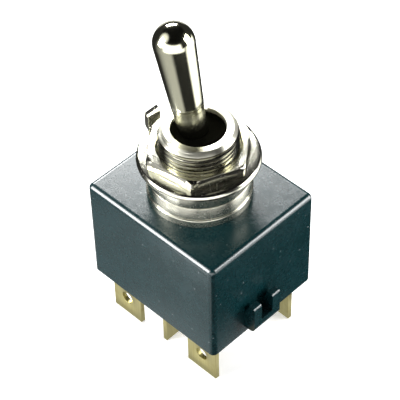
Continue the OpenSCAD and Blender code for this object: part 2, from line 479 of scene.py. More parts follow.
@dataclass(frozen=True)
class Moulding(Finish):
    """Dark moulded thermoset with a skin that shines a little.

    flow is the tone of the flow marks, grain the depth of the skin texture and dust the share
    of dust_tone in a grain of dust. cloudy, mottled and dusty are what the flow marks, the
    mottle and the dust add to the roughness. shine is the specular level. burnish is the clear
    coat on the rounded edges, which handling has polished.
    """

    flow: Rgb = (0.02, 0.05, 0.055)
    rough: float = 0.34
    grain: float = 0.004
    cloudy: float = 0.16
    mottled: float = 0.22
    dusty: float = 0.25
    dust: float = 0.5
    dust_tone: Rgb = (0.30, 0.34, 0.35)
    dust_scale: float = 640.0
    dust_size: float = 0.11
    shine: float = 0.5
    burnish: float = 0.0
    burnish_rough: float = 0.22
    flow_scale: float = 190.0
    skin_scale: float = 2600.0
    mottle_scale: float = 900.0

    def sockets(self, graph: Graph) -> dict[str, Any]:
        """Colour clouds, a fine skin texture, burnished edges and a few grains of dust.

        Args:
            graph: the material's graph.

        Returns:
            The principled shader's sockets, each with a constant or a link.
        """
        place = graph.place()
        cloud = graph.noise(place, self.flow_scale, 5.0, 0.62)
        skin = graph.noise(place, self.skin_scale, 3.0, 0.6)
        patches = graph.noise(place, 330.0).ramp(0.45, 0.65)
        dust = graph.specks(place, self.dust_scale, self.dust_size) * patches
        mottle = graph.noise(place, self.mottle_scale, 4.0, 0.7)
        colour = graph.mix(self.tone, self.flow, cloud.ramp(0.35, 0.75))
        facing = graph.node("ShaderNodeNewGeometry", {}, {}).tint("Normal")
        squared = facing.scaled(facing)
        edge = (1.0 - squared.along(squared)).ramp(0.03, 0.3)
        return {
            "Base Color": colour.toward(self.dust_tone, dust * self.dust),
            "Roughness": self.rough
            + (cloud - 0.5) * self.cloudy
            + (mottle - 0.5) * self.mottled
            + dust * self.dusty,
            "Coat Weight": edge * self.burnish,
            "Coat Roughness": self.burnish_rough,
            "Specular IOR Level": self.shine,
            "Normal": graph.bump(skin * 0.7 + cloud * 0.6, self.grain),
        }


@dataclass(frozen=True)
class Rubber(Finish):
    """Black rubber with a dull skin, on which a little bloom has come up."""

    bloom_tone: Rgb = (0.012, 0.012, 0.009)
    rough: float = 0.6
    grain: float = 0.012
    grain_scale: float = 3400.0
    bloom_scale: float = 420.0

    def sockets(self, graph: Graph) -> dict[str, Any]:
        """Near black, with a fine moulded grain.

        Args:
            graph: the material's graph.

        Returns:
            The principled shader's sockets, each with a constant or a link.
        """
        place = graph.place()
        grain = graph.noise(place, self.grain_scale, 3.0, 0.65)
        bloom = graph.noise(place, self.bloom_scale, 3.0).ramp(0.5, 0.8)
        return {
            "Base Color": graph.mix(self.tone, self.bloom_tone, bloom * 0.5),
            "Roughness": self.rough + bloom * 0.2,
            "Specular IOR Level": 0.0,
            "Normal": graph.bump(grain, self.grain),
        }


@dataclass(frozen=True)
class RolledBrass(Finish):
    """Pale brass strip, with rolling lines and a little tarnish."""

    tarnish: Rgb = (0.44, 0.37, 0.14)
    rough: float = 0.34
    grain: float = 0.006
    line_scale: float = 4200.0
    cloud_scale: float = 420.0

    def sockets(self, graph: Graph) -> dict[str, Any]:
        """Strip metal: lines along the blade and clouds of tarnish.

        Args:
            graph: the material's graph.

        Returns:
            The principled shader's sockets, each with a constant or a link.
        """
        place = graph.place()
        lines = graph.noise(place.scaled((1.0, 1.0, 0.05)), self.line_scale, 3.0, 0.6)
        cloud = graph.noise(place, self.cloud_scale, 4.0, 0.6).ramp(0.42, 0.8)
        share = cloud * 0.5 + lines.ramp(0.35, 0.75) * 0.4
        return {
            "Base Color": graph.mix(self.tone, self.tarnish, share),
            "Metallic": 1.0,
            "Roughness": self.rough + cloud * 0.12 + (lines - 0.5) * 0.12,
            "Normal": graph.bump(lines, self.grain),
        }


@dataclass(frozen=True)
class SpringSteel(Finish):
    """Drawn or pressed metal that stays inside the case, under a film of oil."""

    oiled: Rgb = (0.34, 0.33, 0.31)
    rough: float = 0.3
    grain: float = 0.004
    line_scale: float = 3800.0
    oil_scale: float = 500.0

    def sockets(self, graph: Graph) -> dict[str, Any]:
        """Greyish metal with an oily, uneven shine.

        Args:
            graph: the material's graph.

        Returns:
            The principled shader's sockets, each with a constant or a link.
        """
        place = graph.place()
        drawn = graph.noise(place.scaled((1.0, 1.0, 0.2)), self.line_scale, 3.0)
        oil = graph.noise(place, self.oil_scale, 3.0).ramp(0.4, 0.75)
        return {
            "Base Color": graph.mix(self.tone, self.oiled, oil * 0.5),
            "Metallic": 1.0,
            "Roughness": self.rough + oil * 0.15,
            "Normal": graph.bump(drawn, self.grain),
        }


class Look(Enum):
    """The finishes of the switch."""

    CASE = Moulding(
        "case_moulding", "case", (0.0015, 0.021, 0.0235), flow=(0.003, 0.027, 0.031), rough=0.27,
        burnish=1.0,
    )
    BASE = Moulding(
        "base_moulding", "base", (0.008, 0.010, 0.011), flow=(0.014, 0.017, 0.018), rough=0.5,
        grain=0.01,
    )
    CARRIER = Moulding(
        "carrier_moulding", "carrier", (0.009, 0.009, 0.010), flow=(0.015, 0.015, 0.016), rough=0.5
    )
    PLUNGER = Moulding(
        "plunger_moulding", "plunger", (0.20, 0.018, 0.010), flow=(0.16, 0.014, 0.008), rough=0.35
    )
    # The bushing's colour carries painted shade in its thread roots and bore.
    BUSHING = Nickel(
        "bushing_nickel", "nickel", (0.72, 0.71, 0.60), rough=0.14, turned=0.0012, grooved=0.9,
        worn_from=4.9, pitted=0.15, root_shade_r=5.5, matt=0.1,
    )
    HARDWARE = Nickel(
        "hardware_nickel", "hardware", (0.72, 0.71, 0.60), rough=0.14, satin=0.2, pitted=0.35,
    )
    LEVER = Nickel(
        "lever_nickel", "lever", (0.70, 0.69, 0.52), rough=0.1, scratch=0.002, pitted=0.1,
        matt=0.16, matt_below=9.0,
    )
    STEEL = SpringSteel("plated_steel", "steel", (0.62, 0.62, 0.60))
    SPRING = SpringSteel("spring_wire", "spring", (0.66, 0.66, 0.64), rough=0.22)
    CONTACT = SpringSteel("contact_silver", "contact", (0.88, 0.87, 0.84), rough=0.18)
    RUBBER = Rubber("seal_rubber", "rubber", (0.003, 0.003, 0.002))
    BRASS = RolledBrass("blade_brass", "brass", (0.61, 0.56, 0.26))


# ---------------------------------------------------------------- meshes


def turned(angle: float, radius: float, height: float) -> Point:
    """A point from its angle in radians, its radius and its height."""
    return (radius * math.cos(angle), radius * math.sin(angle), height)


@dataclass
class Skin:
    """Points in millimetres and the faces between them, which become one mesh."""

    points: list[Point] = field(default_factory=list)
    faces: list[tuple[int, ...]] = field(default_factory=list)

    def add_rows(self, rows: Sequence[Sequence[Point]], loop: bool, ring: bool) -> None:
        """Adds a surface through rows of points.

        Args:
            rows: rows with the same number of points.
            loop: whether each row closes on itself.
            ring: whether the last row joins the first.
        """
        start, width = len(self.points), len(rows[0])
        for row in rows:
            self.points.extend(row)
        for i in range(len(rows) if ring else len(rows) - 1):
            here, there = start + i * width, start + (i + 1) % len(rows) * width
            for k in range(width if loop else width - 1):
                n = (k + 1) % width
                self.faces.append((here + k, there + k, there + n, here + n))

    def add_turning(self, profile: Sequence[Flat], count: int) -> None:
        """Turns a profile about the Z axis.

        Args:
            profile: (radius, height) pairs, with the outside on the right when read upwards.
            count: how many steps there are round the axis.
        """
        turns = [math.tau * i / count for i in range(count)]
        self.add_rows([[turned(a, r, z) for r, z in profile] for a in turns], False, True)

    def add_prism(self, outline: Sequence[Point], shift: Point) -> None:
        """Adds a solid between an outline and its shifted copy.

        Args:
            outline: the corners of one end.
            shift: from one end to the other.
        """
        far = [tuple(a + b for a, b in zip(p, shift)) for p in outline]
        start, count = len(self.points), len(outline)
        self.add_rows([list(outline), far], True, False)
        self.faces.append(tuple(start + k for k in range(count)))
        self.faces.append(tuple(start + 2 * count - 1 - k for k in range(count)))

    def leaned(self, degrees: float, pivot_z: float) -> "Skin":
        """Leans every point about the Y axis and lifts it to the pivot it was drawn from.

        Args:
            degrees: how far the points lean.
            pivot_z: the pivot's height.

        Returns:
            The same skin.
        """
        turn = Matrix.Rotation(math.radians(degrees), 3, "Y")
        up = Vector((0.0, 0.0, pivot_z))
        self.points = [tuple(turn @ Vector(p) + up) for p in self.points]
        return self

    def build(self, name: str, look: Look, sharp: float = 32.0) -> bpy.types.Object:
        """Makes the object.

        Args:
            name: the piece's name.
            look: its finish.
            sharp: the angle in degrees from which an edge is kept sharp.

        Returns:
            The new object, in the scene.
        """
        mesh = bpy.data.meshes.new(name)
        mesh.from_pydata([tuple(c * MM for c in p) for p in self.points], [], self.faces)
        work = bmesh.new()
        work.from_mesh(mesh)
        bmesh.ops.remove_doubles(work, verts=work.verts, dist=MERGE_METRES)
        bmesh.ops.dissolve_degenerate(work, edges=work.edges, dist=MERGE_METRES)
        bmesh.ops.recalc_face_normals(work, faces=work.faces)
        work.to_mesh(mesh)
        work.free()
        mesh.polygons.foreach_set("use_smooth", [True] * len(mesh.polygons))
        mesh.set_sharp_from_angle(angle=math.radians(sharp))
        mesh.materials.append(look.value.material())
        piece = bpy.data.objects.new(name, mesh)
        bpy.context.scene.collection.objects.link(piece)
        return piece


def soften(piece: bpy.types.Object, width: float, steps: int = 2, sharp: float = 40.0) -> None:
    """Breaks a piece's edges.

    Args:
        piece: the object.
        width: the width of the broken edge, in millimetres.
        steps: how many faces go round each edge.
        sharp: the angle in degrees from which an edge is broken.
    """
    bevel = piece.modifiers.new("broken_edges", "BEVEL")
    bevel.width = width * MM
    bevel.segments = steps
    bevel.limit_method = "ANGLE"
    bevel.angle_limit = math.radians(sharp)
    bevel.harden_normals = True


def dress(node: str, look: Look) -> None:
    """Gives a carried-over solid its finish.

    Args:
        node: the solid's name.
        look: its finish.
    """
    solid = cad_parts[node]
    if not solid.material_slots:
        solid.data.materials.append(look.value.material())
    for held in solid.material_slots:
        held.link = "OBJECT"
        held.material = look.value.material()
    log.info("dressed %s with %s", node, look.value.name)


def stand_in(piece: bpy.types.Object, body: str, *nodes: str) -> None:
    """Puts a finished piece in the place of some solids.

    Args:
        piece: the new object.
        body: the body that it rides on.
        nodes: the solids that it stands for.
    """
    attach(piece, body)
    if nodes:
        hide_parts(*nodes)
    log.info("built %s: %d faces", piece.name, len(piece.data.polygons))


# ---------------------------------------------------------------- bushing


@dataclass
class Bushing:
    """The turned bushing: shoulder, cut thread, rolled rim with its step, and keyway.

    body_rows hold (radius, height) from the staked foot up to the shoulder's top, mouth_rows
    (radius, depth below the rim) and inner_rows (radius, height) down the bore.
    """

    thread_r: float = 5.953
    thread_low: float = 0.35
    thread_turns: int = 10
    step: float = 0.01
    pitch: float = 25.4 / 32.0
    depth: float = 0.6134
    crest: float = 0.07
    root: float = 0.375
    phases: tuple[float, ...] = (-0.07, 0.0, 0.07, 0.22, 0.375, 0.5, 0.625, 0.78)
    relief_r: float = 5.46
    top_z: float = 6.0
    rim_r: float = 5.15
    rim_round: float = 0.12
    rim_drop: float = 0.35
    drop_from: float = 116.0
    drop_to: float = 232.0
    key_floor: float = 5.05
    key_half: float = 9.4
    columns: int = 144
    split: float = 0.08
    body_rows: tuple[Flat, ...] = (
        (5.65, -10.4), (6.85, -10.4), (6.85, -10.02), (6.25, -10.0), (6.25, -6.8),
        (6.6, -6.8), (6.6, -6.08), (7.4, -6.08), (7.4, -6.8), (7.88, -6.8),
        (7.94, -6.72), (7.94, -5.56), (7.90, -5.48), (7.82, -5.45), (7.76, -5.40),
        (7.75, -5.25), (7.75, -3.26), (7.70, -3.14), (7.64, -3.10), (7.64, -3.02),
        (7.70, -2.98), (7.75, -2.86), (7.75, -0.16), (7.71, -0.05), (7.60, 0.0),
    )
    mouth_rows: tuple[Flat, ...] = ((4.32, 0.0), (4.18, 0.03), (4.11, 0.12), (4.1, 0.3))
    inner_rows: tuple[Flat, ...] = ((4.1, 1.2), (5.65, 0.4))

    def thread_at(self, phase: float) -> float:
        """Works out the thread's radius.

        Args:
            phase: turns from the middle of a crest.

        Returns:
            The radius there.
        """
        off = abs((phase + 0.5) % 1.0 - 0.5)
        share = min(max((off - self.crest) / (self.root - self.crest), 0.0), 1.0)
        return self.thread_r - self.depth * self.pitch * share

    def rim_at(self, down: float) -> float:
        """Works out the radius of the rolled-over rim.

        Args:
            down: the depth below its top.

        Returns:
            The radius there.
        """
        share = min(down / (self.thread_r - self.rim_r), 1.0)
        return self.rim_r + down + 4.0 * self.rim_round * share * (1.0 - share)

    def angles(self) -> list[float]:
        """Spaces the mesh's columns.

        Returns:
            Their angles in degrees, with two close together at each step of the rim.
        """
        even = {i * 360.0 / self.columns for i in range(self.columns + 1)}
        for edge in (self.drop_from, self.drop_to, 180 - self.key_half, 180 + self.key_half):
            even |= {edge - self.split, edge + self.split}
        return sorted(even)

    def column(self, angle: float) -> list[Point]:
        """Draws one upright section of the bushing.

        Args:
            angle: the section's angle in degrees.

        Returns:
            Its points, from the bore's foot round the outside to the mouth.
        """
        in_drop = self.drop_from < angle < self.drop_to
        in_key = abs(angle - 180.0) < self.key_half
        top = self.top_z - (self.rim_drop if in_drop else 0.0)
        reach = self.key_floor if in_key else math.inf
        relief = min(self.relief_r, reach)
        cut = [(relief, 0.0), (relief, self.thread_low - self.step)]
        first = math.floor((self.thread_low - self.pitch) / self.pitch)
        for turn in range(first, first + self.thread_turns):
            for phase in self.phases:
                z = self.pitch * (turn + phase + angle / 360.0)
                held = min(max(z, self.thread_low), top - self.step)
                thread = self.thread_at(held / self.pitch - angle / 360.0)
                cut.append((min(thread, self.rim_at(top - held), reach), held))
        mouth = [(min(self.rim_r, reach), top)]
        mouth += [(radius, top - down) for radius, down in self.mouth_rows]
        rows = [*self.body_rows, *cut, *mouth, *self.inner_rows]
        return [turned(math.radians(angle), radius, z) for radius, z in rows]

    def build(self) -> None:
        """Makes the bushing and puts it in the solid's place."""
        skin = Skin()
        skin.add_rows([self.column(angle) for angle in self.angles()], True, False)
        piece = skin.build("threaded_bushing", Look.BUSHING, 24.0)
        stand_in(piece, "housing", "bushing")


# ---------------------------------------------------------------- panel hardware


@dataclass
class LockingRing:
    """The stamped ring with its tongue in the keyway and its bent-up tab.

    rolled holds the die's round on the upper edge, as (inwards from outer_r, depth below the
    top), and bore_rows the broken edges of the hole, as (out from inner_r, height below the
    top). crown and slope do the same for the tab's top, inwards from each of its faces, and
    heel is the small radius at its inner foot, as (inwards, height above the ring).
    """

    outer_r: float = 9.2
    inner_r: float = 6.05
    thick: float = 0.82
    steps: int = 192
    rolled: tuple[Flat, ...] = (
        (0.0, 0.64), (0.06, 0.42), (0.14, 0.24), (0.24, 0.11), (0.34, 0.03), (0.46, 0.0),
    )
    bore_rows: tuple[Flat, ...] = ((0.16, 0.0), (0.04, 0.05), (0.0, 0.14))
    die_break: Flat = (0.05, 0.06)
    tab_root: float = -8.7
    tab_out: float = -9.95
    tab_top: float = 3.16
    tab_half: float = 1.25
    tab_thick: float = 0.85
    crown: tuple[Flat, ...] = ((0.0, 0.12), (0.03, 0.03), (0.11, 0.0), (0.2, 0.03))
    slope: tuple[Flat, ...] = ((0.09, 0.59), (0.0, 0.72))
    heel: tuple[Flat, ...] = ((0.0, 0.16), (0.05, 0.05), (0.16, 0.0))
    tongue: Span = (-6.5, -5.2)
    tongue_half: float = 0.8
    tongue_inset: float = 0.02
    broken: float = 0.07

    def ring(self, skin: Skin) -> None:
        """Adds the flat ring; its upper outer edge is rounded by the die.

        Args:
            skin: the skin that it is added to.
        """
        inner, outer, t = self.inner_r, self.outer_r, self.thick
        wide, high = self.die_break
        foot = (inner, high)
        profile = [foot, (inner + wide, 0.0), (outer - wide, 0.0), (outer, 0.04)]
        profile += [(outer - inward, t - down) for inward, down in self.rolled]
        profile += [(inner + out, t - down) for out, down in self.bore_rows]
        profile.append(foot)
        skin.add_turning(profile, self.steps)

    def tab(self, skin: Skin) -> None:
        """Adds the tab, bent up with a round outside and a small inside radius.

        Args:
            skin: the skin that it is added to.
        """
        t, out, top = self.thick, self.tab_out, self.tab_top
        back = out + self.tab_thick
        bend = [math.radians(270.0 - 15.0 * i) for i in range(7)]
        side = [(self.tab_root, 0.0)]
        side += [(out + t + t * math.cos(a), t + t * math.sin(a)) for a in bend]
        side += [(out + inward, top - down) for inward, down in self.crown]
        side += [(back - inward, top - down) for inward, down in self.slope]
        side += [(back + inward, t + up) for inward, up in self.heel]
        side.append((self.tab_root, t))
        half = self.tab_half
        skin.add_prism([(x, -half, z) for x, z in side], (0.0, 2.0 * half, 0.0))

    def tooth(self, skin: Skin) -> None:
        """Adds the tongue that sits in the keyway.

        Args:
            skin: the skin that it is added to.
        """
        (far, near), half, low = self.tongue, self.tongue_half, self.tongue_inset
        foot = [(far, -half, low), (near, -half, low), (near, half, low), (far, half, low)]
        skin.add_prism(foot, (0.0, 0.0, self.thick - 2.0 * low))

    def build(self) -> None:
        """Makes the ring and puts it in the solid's place."""
        skin = Skin()
        self.ring(skin)
        self.tab(skin)
        self.tooth(skin)
        piece = skin.build("tabbed_ring", Look.HARDWARE)
        soften(piece, self.broken)
        stand_in(piece, "housing", "locking_ring")


@dataclass
class HexNut:
    """The thin panel nut, with its corners turned off above and below.

    foot_rows hold (radius, height above the foot) out from the bore, and top_rows (radius,
    depth below the top) back in to it.
    """

    across_flats: float = 14.3
    corner_r: float = 8.17
    first_corner: float = 7.6
    low_z: float = 0.84
    thick: float = 1.9
    foot_rows: tuple[Flat, ...] = ((6.0, 0.35), (6.3, 0.0), (6.9, 0.0))
    top_rows: tuple[Flat, ...] = ((6.9, 0.0), (6.42, 0.0), (6.34, 0.03), (6.0, 0.36))
    chamfer_r: float = 7.7
    chamfer_slope: float = math.tan(math.radians(30.0))
    chamfer_steps: int = 4
    low_share: float = 0.1
    edge_width: float = 0.05
    edge_drop: float = 0.035
    columns: int = 240

    def side_radius(self, angle: float) -> float:
        """Distance from the axis to the hexagon's side at an angle in degrees."""
        off = (angle - self.first_corner) % 60.0 - 30.0
        return min(self.across_flats / 2.0 / math.cos(math.radians(off)), self.corner_r)

    def column(self, angle: float) -> list[Point]:
        """Draws one upright section of the nut.

        Args:
            angle: the section's angle in degrees.

        Returns:
            Its points, from the bore's foot round the outside and back.
        """
        side = self.side_radius(angle)
        low, high, last = self.low_z, self.low_z + self.thick, self.chamfer_steps
        start = min(self.chamfer_r, side - self.edge_width)
        steps = [start + (side - start) * i / last for i in range(last + 1)]
        fall = [max(radius - self.chamfer_r, 0.0) * self.chamfer_slope for radius in steps]
        fall[last] += self.edge_drop
        path = [(radius, low + up) for radius, up in self.foot_rows]
        path += [(radius, low + f * self.low_share) for radius, f in zip(steps, fall)]
        path += [(radius, high - f) for radius, f in zip(reversed(steps), reversed(fall))]
        path += [(radius, high - down) for radius, down in self.top_rows]
        return [turned(math.radians(angle), radius, z) for radius, z in path]

    def build(self) -> None:
        """Makes the nut and puts it in the solid's place."""
        skin = Skin()
        turns = [self.first_corner + 360.0 * i / self.columns for i in range(self.columns)]
        skin.add_rows([self.column(angle) for angle in turns], True, True)
        piece = skin.build("panel_nut", Look.HARDWARE, 20.0)
        stand_in(piece, "housing", "hex_nut")


# ---------------------------------------------------------------- lever and seal


@dataclass
class BatLever:
    """The polished bat lever; heights run up its own axis from the pivot.

    shank_rows hold (radius, height) from the foot up to the edge where the bat begins.
    """

    lean: float = -12.4
    pivot_z: float = -0.6
    tip_r: float = 3.08
    tip_s: float = 20.3
    tip_steps: int = 40
    taper: float = 3.59
    taper_steps: int = 12
    edge_s: float = 9.85
    edge_break: Flat = (0.012, 0.03)
    columns: int = 128
    shank_rows: tuple[Flat, ...] = (
        (0.0, -8.0), (1.25, -8.0), (1.4, -7.85), (1.4, 5.0), (1.6, 5.5), (1.83, 6.0),
        (1.98, 6.4), (2.08, 6.7), (2.16, 7.0), (2.23, 7.4), (2.28, 7.9), (2.31, 8.5),
        (2.33, 9.05), (2.345, 9.12), (2.36, 9.2), (2.385, 9.72), (2.40, 9.80),
    )

    def profile(self) -> list[Flat]:
        """Draws the lever's outline.

        Returns:
            (radius, height) pairs, from the foot of its shank to the top of its tip.
        """
        sweep = [
            math.radians(-self.taper + (90.0 + self.taper) * i / self.tip_steps)
            for i in range(self.tip_steps + 1)
        ]
        tip = [(self.tip_r * math.cos(a), self.tip_s + self.tip_r * math.sin(a)) for a in sweep]
        slope = math.radians(self.taper)
        foot_s = self.edge_s
        foot_r = self.tip_r / math.cos(slope) - (self.tip_s - foot_s) * math.tan(slope)
        cut, up = self.edge_break
        edge = [(foot_r - cut, foot_s - cut), (foot_r, foot_s + up)]
        wide, high = tip[0][0] - foot_r, tip[0][1] - foot_s
        shares = [i / self.taper_steps for i in range(1, self.taper_steps)]
        rise = [(foot_r + wide * share, foot_s + high * share) for share in shares]
        return [*self.shank_rows, *edge, *rise, *tip]

    def build(self) -> None:
        """Makes the lever and puts it in the solid's place."""
        skin = Skin()
        skin.add_turning(self.profile(), self.columns)
        piece = skin.leaned(self.lean, self.pivot_z).build("bat_lever", Look.LEVER, 16.0)
        stand_in(piece, "lever", "lever")


@dataclass
class Seal:
    """The rubber boot: a web bonded to the bore, and a collar that hugs the lever's neck.

    Both sets of rows hold (radius, height). The blend hands the web over from the bushing to
    the lever as the height falls from held_z to free_z, and each of the web's rows is centred
    as far towards the lever as its share in that fall.
    """

    lean: float = -12.4
    pivot_z: float = -0.6
    held_z: float = 5.16
    free_z: float = 4.80
    columns: int = 96
    sharp: float = 50.0
    web_rows: tuple[Flat, ...] = (
        (4.085, 5.12), (4.085, 5.20), (4.0, 5.18), (3.7, 5.13), (3.3, 5.06), (2.9, 4.98),
        (2.5, 4.90), (2.2, 4.83), (2.0, 4.77), (2.0, 4.70), (2.3, 4.77), (2.7, 4.86),
        (3.1, 4.94), (3.5, 5.02), (3.9, 5.10),
    )
    collar_rows: tuple[Flat, ...] = (
        (1.5, 4.95), (2.2, 4.95), (2.3, 5.1), (2.28, 5.4), (2.14, 5.75), (2.02, 6.0),
        (1.97, 6.13), (1.92, 6.16), (1.87, 6.12), (1.7, 5.6), (1.5, 4.95),
    )

    def web(self) -> Skin:
        """Draws the web.

        Returns:
            Its skin.
        """
        slope = math.tan(math.radians(self.lean))
        rings = []
        for radius, height in self.web_rows:
            share = min(max((self.held_z - height) / (self.held_z - self.free_z), 0.0), 1.0)
            middle = share * (height - self.pivot_z) * slope
            turns = [math.tau * i / self.columns for i in range(self.columns)]
            ring = [turned(angle, radius, height) for angle in turns]
            rings.append([(middle + x, y, z) for x, y, z in ring])
        skin = Skin()
        skin.add_rows(rings, True, True)
        return skin

    def build(self) -> None:
        """Makes the web, which stays where it is built, and the collar, which goes with the lever.
        """
        web = self.web().build("boot_web", Look.RUBBER, self.sharp)
        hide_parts("bushing_seal")
        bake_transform(web)
        log.info("built %s: %d faces", web.name, len(web.data.polygons))
        skin = Skin()
        skin.add_turning(self.collar_rows, self.columns)
        leaned = skin.leaned(self.lean, self.pivot_z)
        collar = leaned.build("boot_collar", Look.RUBBER, self.sharp)
        stand_in(collar, "lever", "lever_boot")


# ---------------------------------------------------------------- terminals


class Facing(Enum):
    """Which way a blade's broad face looks."""

    ACROSS = "along Y"
    LENGTHWISE = "along X"


@dataclass
class Blade:
    """One flat terminal with its eye; it is drawn in its own plane and then put in place.

    lip_rows hold the eye's pressed lip on the outer face, as (out from eye_r, depth).
    """

    node: str
    x: float
    y: float
    facing: Facing
    width: float = 6.0
    thick: float = 0.8
    tip_z: float = -34.6
    root_z: float = -25.45
    eye_z: float = -31.0
    eye_r: float = 1.1
    eye_break: float = 0.05
    lip_rows: tuple[Flat, ...] = ((0.0, 0.08), (0.015, 0.02), (0.05, 0.0))
    edge_break: float = 0.04
    columns: int = 72
    neck_half: float = 1.8
    neck_low: float = -25.5
    pad_z: float = -22.7
    pad_thick: float = 0.75
    pad_from: float = 3.9
    hinge_top: float = -19.7

    def put(self, across: float, out: float, height: float) -> Point:
        """Places a point of the blade's plane.

        Args:
            across: the place across the blade.
            out: the place through its thickness, positive away from the part's middle.
            height: the height.

        Returns:
            The point in the row frame.
        """
        if self.facing is Facing.LENGTHWISE:
            return (self.x + out, self.y + across, height)
        side = 1.0 if self.y > 0 else -1.0
        return (self.x + across, self.y + side * out, height)

    def edge_at(self, angle: float) -> Flat:
        """Finds where a ray from the eye's centre meets the blade's outline.

        Args:
            angle: the ray's angle in the blade's plane, in radians.

        Returns:
            The place across and up from the eye's centre.
        """
        dx, dz = math.cos(angle), math.sin(angle)
        up = (self.root_z - self.eye_z) if dz > 0 else (self.eye_z - self.tip_z)
        reach = min(self.width / 2.0 / max(abs(dx), TINY), up / max(abs(dz), TINY))
        return reach * dx, reach * dz

    def flat(self, skin: Skin) -> None:
        """Adds the blade with broken edges and an eye that is pressed in from the outside.

        Args:
            skin: the skin that it is added to.
        """
        half, broken = self.thick / 2.0, self.edge_break
        rises = (self.root_z - self.eye_z, self.tip_z - self.eye_z)
        corners = [math.atan2(z, s * self.width / 2.0) % math.tau for z in rises for s in (1, -1)]
        even = {math.tau * i / self.columns for i in range(self.columns)}
        rows = []
        for angle in sorted(even | set(corners)):
            dx, dz = math.cos(angle), math.sin(angle)
            ex, ez = self.edge_at(angle)
            shrink = 1.0 - broken / math.hypot(ex, ez)
            lip = [(self.eye_r + out, half - sunk) for out, sunk in self.lip_rows]
            back_r = self.eye_r + self.eye_break
            row = [(radius * dx, out, radius * dz) for radius, out in lip]
            row += [
                (ex * shrink, half, ez * shrink), (ex, half - broken, ez),
                (ex, -half + broken, ez), (ex * shrink, -half, ez * shrink),
                (back_r * dx, -half, back_r * dz),
                (self.eye_r * dx, -half + self.eye_break, self.eye_r * dz),
            ]
            rows.append([self.put(across, out, self.eye_z + up) for across, out, up in row])
        skin.add_rows(rows, True, True)

    def block(self, skin: Skin, sides: Flat, outs: Flat, heights: Flat) -> None:
        """Adds a plain block of strip.

        Args:
            skin: the skin that it is added to.
            sides: its two ends across the blade.
            outs: its two faces through the thickness.
            heights: its foot and its top.
        """
        (left, right), (back, face), (low, high) = sides, outs, heights
        round_foot = ((left, back), (right, back), (right, face), (left, face))
        foot = [self.put(across, out, low) for across, out in round_foot]
        skin.add_prism(foot, (0.0, 0.0, high - low))

    def build(self) -> None:
        """Makes the terminal and puts it in the solid's place."""
        half, neck = self.thick / 2.0, (-self.neck_half, self.neck_half)
        skin = Skin()
        self.flat(skin)
        if self.facing is Facing.LENGTHWISE:
            self.block(skin, neck, (-half, half), (self.neck_low, self.hinge_top))
        else:
            top = self.pad_z + self.pad_thick
            self.block(skin, neck, (-half, half), (self.neck_low, top))
            self.block(skin, neck, (self.pad_from - abs(self.y), 0.0), (self.pad_z, top))
        piece = skin.build(f"blade_{self.node[-1]}", Look.BRASS)
        stand_in(piece, "housing", self.node)


TERMINALS: tuple[Blade, ...] = (
    Blade("terminal_1", 8.2, -8.27, Facing.ACROSS),
    Blade("terminal_2", 0.0, -5.5, Facing.LENGTHWISE),
    Blade("terminal_3", -8.2, -8.27, Facing.ACROSS),
    Blade("terminal_4", 8.2, 8.27, Facing.ACROSS),
    Blade("terminal_5", 0.0, 5.5, Facing.LENGTHWISE),
    Blade("terminal_6", -8.2, 8.27, Facing.ACROSS),
)


# ---------------------------------------------------------------- case


@dataclass
class CarriedSolids:
    """The solids that are shown as they are, with their finishes."""

    finishes: tuple[tuple[Look, tuple[str, ...]], ...] = (
        (Look.CASE, ("case",)),
        (Look.BASE, ("base",)),
        (Look.STEEL, ("retainer_plate", "pivot_pin")),
        (Look.RUBBER, ("case_seal",)),
        (Look.CARRIER, ("carrier",)),
        (Look.PLUNGER, ("plunger_a", "plunger_b")),
        (Look.SPRING, ("plunger_spring_a", "plunger_spring_b")),
        (Look.BRASS, ("rocker_a", "rocker_b")),
        (
            Look.CONTACT,
            tuple(f"{kind}_contact_{i}" for kind in ("fixed", "moving") for i in (1, 3, 4, 6)),
        ),
    )

    def build(self) -> None:
        """Dresses each solid."""
        for look, nodes in self.finishes:
            for node in nodes:
                dress(node, look)


# ---------------------------------------------------------------- studio


def heading(azimuth: float, elevation: float) -> Vector:
    """The direction from the switch to a viewer; azimuth 0 looks along +Y."""
    a, e = math.radians(azimuth), math.radians(elevation)
    return Vector((math.sin(a) * math.cos(e), -math.cos(a) * math.cos(e), math.sin(e)))


def level(azimuth: float) -> Point:
    """The level direction at an azimuth, as plain numbers."""
    return tuple(heading(azimuth, 0.0))


@dataclass
class SoftBox:
    """One rectangular lamp, aimed at the switch."""

    name: str
    azimuth: float
    elevation: float
    width: float
    height: float
    power: float
    distance: float = 420.0

    def build(self, target: Vector) -> None:
        """Makes the lamp.

        Args:
            target: the point that it is aimed at, in metres.
        """
        lamp = bpy.data.lights.new(self.name, "AREA")
        lamp.shape = "RECTANGLE"
        lamp.size = self.width * MM
        lamp.size_y = self.height * MM
        lamp.energy = self.power
        held = bpy.data.objects.new(self.name, lamp)
        back = heading(self.azimuth, self.elevation)
        held.location = target + back * self.distance * MM
        held.rotation_mode = "QUATERNION"
        held.rotation_quaternion = (-back).to_track_quat("-Z", "Y")
        bpy.context.scene.collection.objects.link(held)


